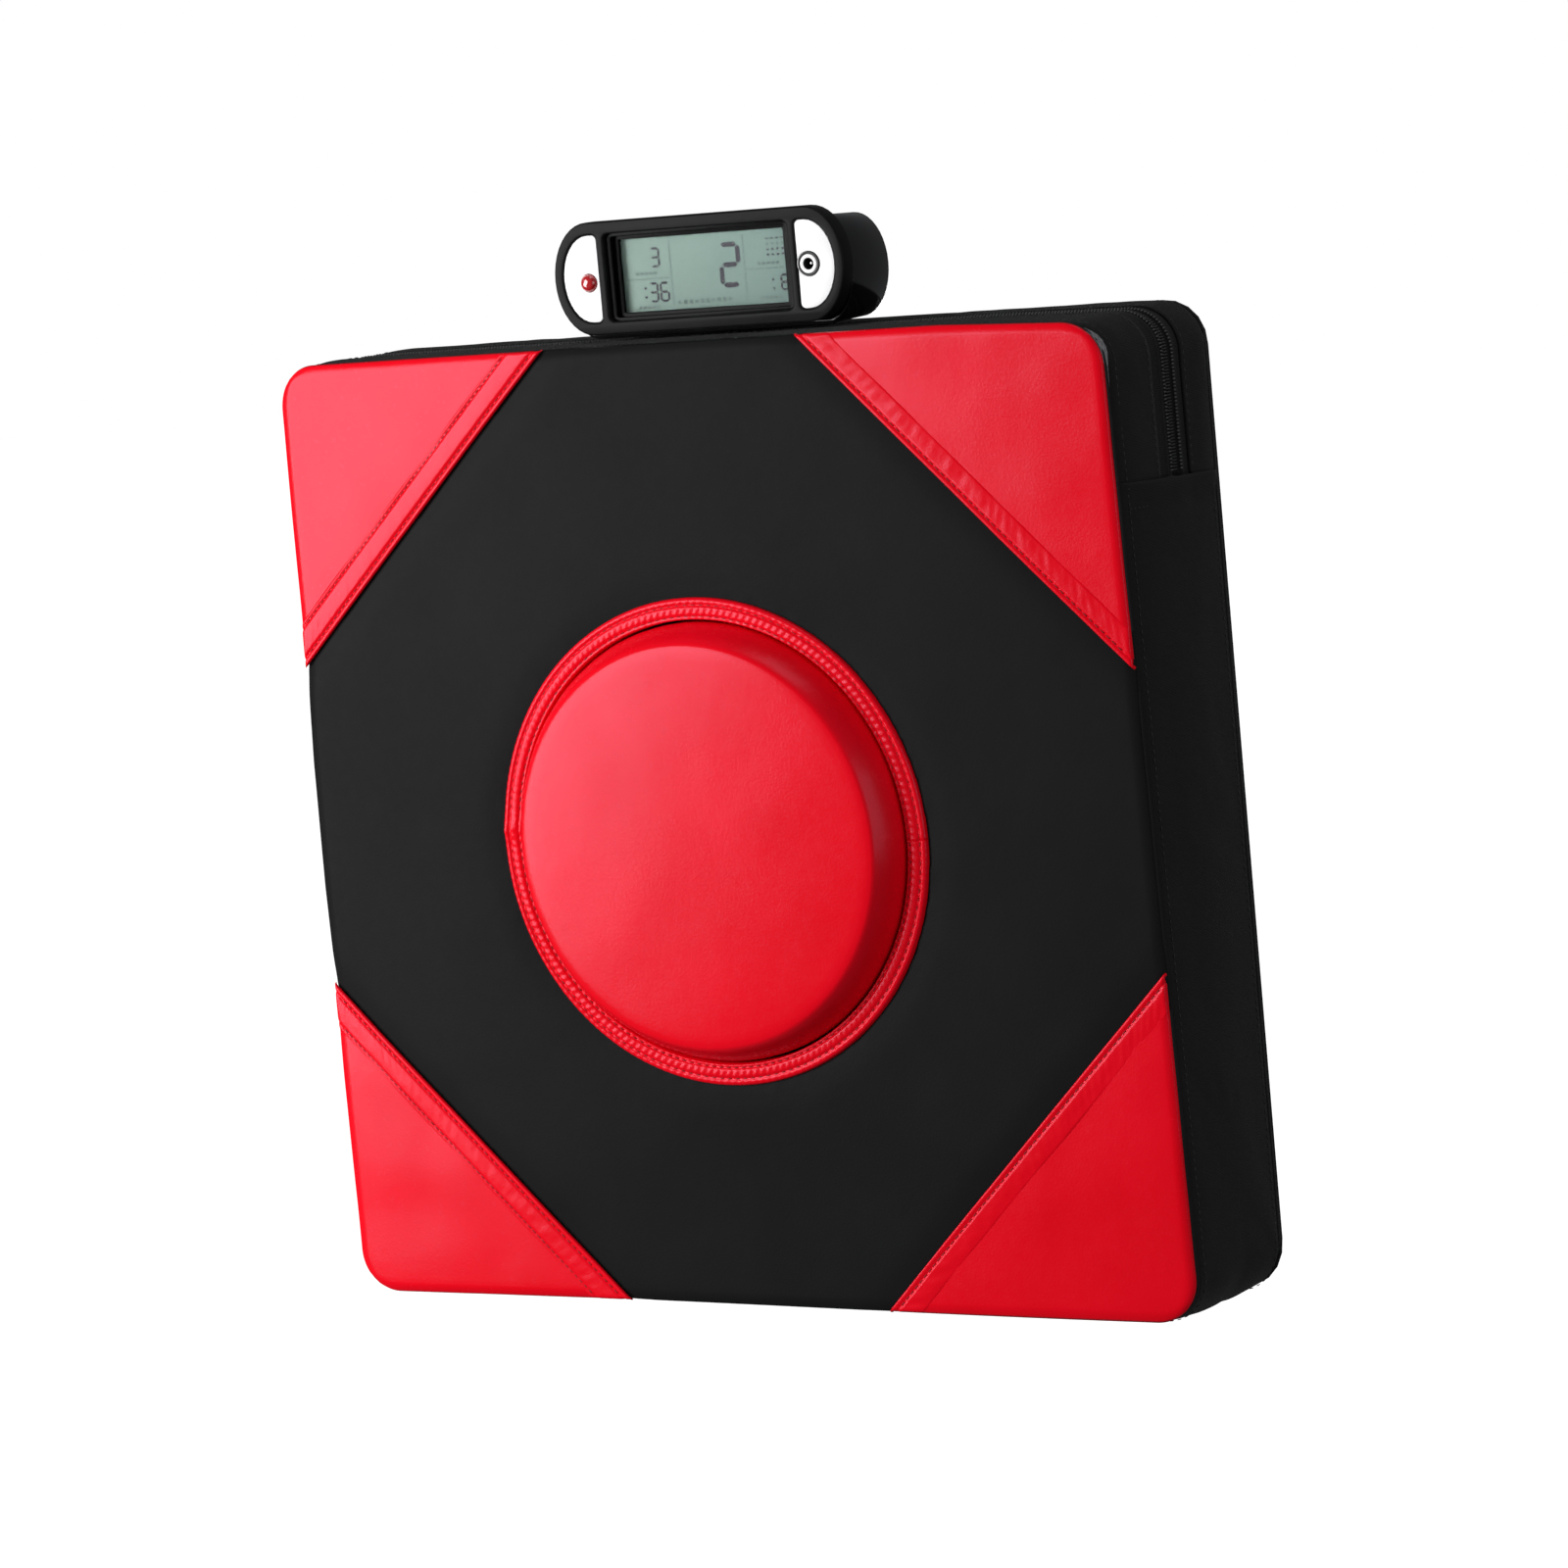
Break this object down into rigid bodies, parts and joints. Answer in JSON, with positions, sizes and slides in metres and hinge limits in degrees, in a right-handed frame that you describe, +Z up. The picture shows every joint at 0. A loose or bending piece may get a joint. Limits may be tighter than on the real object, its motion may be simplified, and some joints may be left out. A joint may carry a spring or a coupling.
{
  "type": "boxing punch machine",
  "caption": "Square wall-mounted boxing target: a padded leather cover with a round sprung strike pad, zipped cloth sides and a digital punch counter on top.",
  "frame": {"origin": "middle of the rear face, where it meets the wall", "axes": "+X to the right as seen from the front, +Y to the rear into the wall, +Z up to the counter"},
  "size_m": [0.4072, 0.103, 0.4511],
  "materials": {
    "red_leather": "satin",
    "black_leather": "matte",
    "black_cloth": "matte",
    "black_gloss": "gloss",
    "black_plastic": "matte",
    "white_plastic": "satin",
    "red_plastic": "gloss",
    "foam": "matte",
    "board": "raw",
    "steel": "satin",
    "dark_metal": "satin",
    "clear_window": "polished",
    "lcd": "satin",
    "circuit": "satin",
    "cell": "satin"
  },
  "bodies": {
    "pad": {"front_panel": "black_leather", "corner_patch_top_left": "red_leather", "corner_patch_top_right": "red_leather", "corner_patch_bottom_left": "red_leather", "corner_patch_bottom_right": "red_leather", "target_ring": "red_leather", "lower_side_band": "black_cloth", "front_side_strip": "black_cloth", "rear_side_strip": "black_cloth", "zip_tape_front": "black_cloth", "zip_tape_rear": "black_cloth", "zip_chain": "black_plastic", "front_piping": "black_leather", "rear_piping": "black_leather", "rear_panel": "black_cloth", "eyelet_top_left": "dark_metal", "eyelet_top_right": "dark_metal", "eyelet_bottom_left": "dark_metal", "eyelet_bottom_right": "dark_metal", "backboard": "board", "base_foam": "foam", "shock_foam": "foam", "impact_sensor": "steel", "sensor_cable": "black_plastic", "meter_neck": "black_plastic", "neck_screw_left": "steel", "neck_screw_right": "steel", "mount_screw_left": "steel", "mount_screw_right": "steel", "meter_bezel": "black_gloss", "meter_shell": "black_gloss", "end_plate_left": "white_plastic", "end_plate_right": "white_plastic", "lcd_carrier": "black_gloss", "lcd_window": "clear_window", "lcd_panel": "lcd", "button_switch": "black_plastic", "charge_jack": "black_plastic", "circuit_board": "circuit", "battery": "cell", "meter_screw_top_left": "steel", "meter_screw_top_right": "steel", "meter_screw_bottom_left": "steel", "meter_screw_bottom_right": "steel"},
    "strike_pad": {"target_cover": "red_leather", "target_foam": "foam", "impact_plate": "black_plastic"},
    "button": {"mode_button": "red_plastic"},
    "slider": {"zip_slider": "dark_metal"},
    "pull": {"zip_pull": "dark_metal"}
  },
  "joints": [
    {"name": "punch_travel", "type": "slide", "parent": "pad", "child": "strike_pad", "axis": [0, 1, 0], "range_m": [0, 0.012], "stiffness_N_per_m": 6000},
    {"name": "button_press", "type": "slide", "parent": "pad", "child": "button", "axis": [0, 1, 0], "range_m": [0, 0.001], "stiffness_N_per_m": 200},
    {"name": "zip_travel", "type": "slide", "parent": "pad", "child": "slider", "axis": [0, 0, 1], "range_m": [0, 0.033]},
    {"name": "pull_swing", "type": "hinge", "parent": "slider", "child": "pull", "pos_m": [-0.20435, -0.037, 0.14], "axis": [0, 1, 0], "range_deg": [0, 170]}
  ]
}
